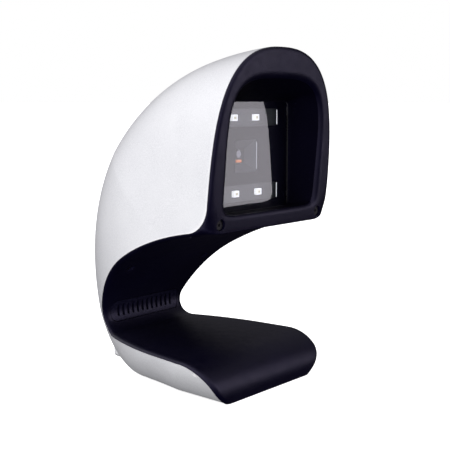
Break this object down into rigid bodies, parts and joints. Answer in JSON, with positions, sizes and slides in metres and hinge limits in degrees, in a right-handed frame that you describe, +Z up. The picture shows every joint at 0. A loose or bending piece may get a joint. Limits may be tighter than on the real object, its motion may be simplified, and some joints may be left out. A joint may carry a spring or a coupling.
{
  "type": "hands-free desktop barcode scanner",
  "caption": "C-shaped hands-free desktop barcode scanner: silver back shell, black inner skin, hooded reading window in the head over a flat foot.",
  "frame": {"origin": "on the table, under the middle of the bounding box", "axes": "+Z up, X across the scanner, whose left and right halves are alike, and the reading window faces -Y"},
  "size_m": [0.0848, 0.1099, 0.1545],
  "materials": {
    "silver_paint": "satin",
    "black_plastic": "soft satin",
    "base_plastic": "matte",
    "plate_plastic": "matte",
    "inner_plastic": "matte",
    "socket_plastic": "matte",
    "foot_rubber": "matte",
    "gasket_rubber": "matte",
    "window_glass": "polished",
    "lens_glass": "polished",
    "lens_metal": "black anodised",
    "led_board": "black solder mask",
    "circuit_board": "green solder mask",
    "chip_epoxy": "matte",
    "led_white": "gloss",
    "led_amber": "gloss",
    "flat_cable": "satin",
    "ballast_steel": "zinc plated",
    "screw_steel": "zinc plated",
    "screw_black": "black oxide"
  },
  "bodies": {
    "root": {"outer_shell": "silver_paint", "front_cover": "black_plastic", "bezel_hood": "black_plastic", "speaker_grille": "black_plastic", "base_plate": "base_plastic", "rubber_feet": "foot_rubber", "base_screws": "screw_steel", "ballast": "ballast_steel", "window_gasket": "gasket_rubber", "scan_window": "window_glass", "reflector_plate": "plate_plastic", "led_board_upper": "led_board", "led_board_lower": "led_board", "leds_upper": "led_white", "leds_lower": "led_white", "engine_bracket": "inner_plastic", "bracket_screws": "screw_steel", "camera_housing": "inner_plastic", "lens_barrel": "lens_metal", "lens_glass": "lens_glass", "aiming_led": "led_amber", "sensor_board": "circuit_board", "image_sensor": "chip_epoxy", "main_board": "circuit_board", "processor": "chip_epoxy", "board_chips": "chip_epoxy", "chassis": "inner_plastic", "board_screws": "screw_steel", "ribbon_cable": "flat_cable", "speaker": "inner_plastic", "cable_socket": "socket_plastic", "bezel_screws": "screw_black", "throat_screws": "screw_black"}
  },
  "joints": []
}
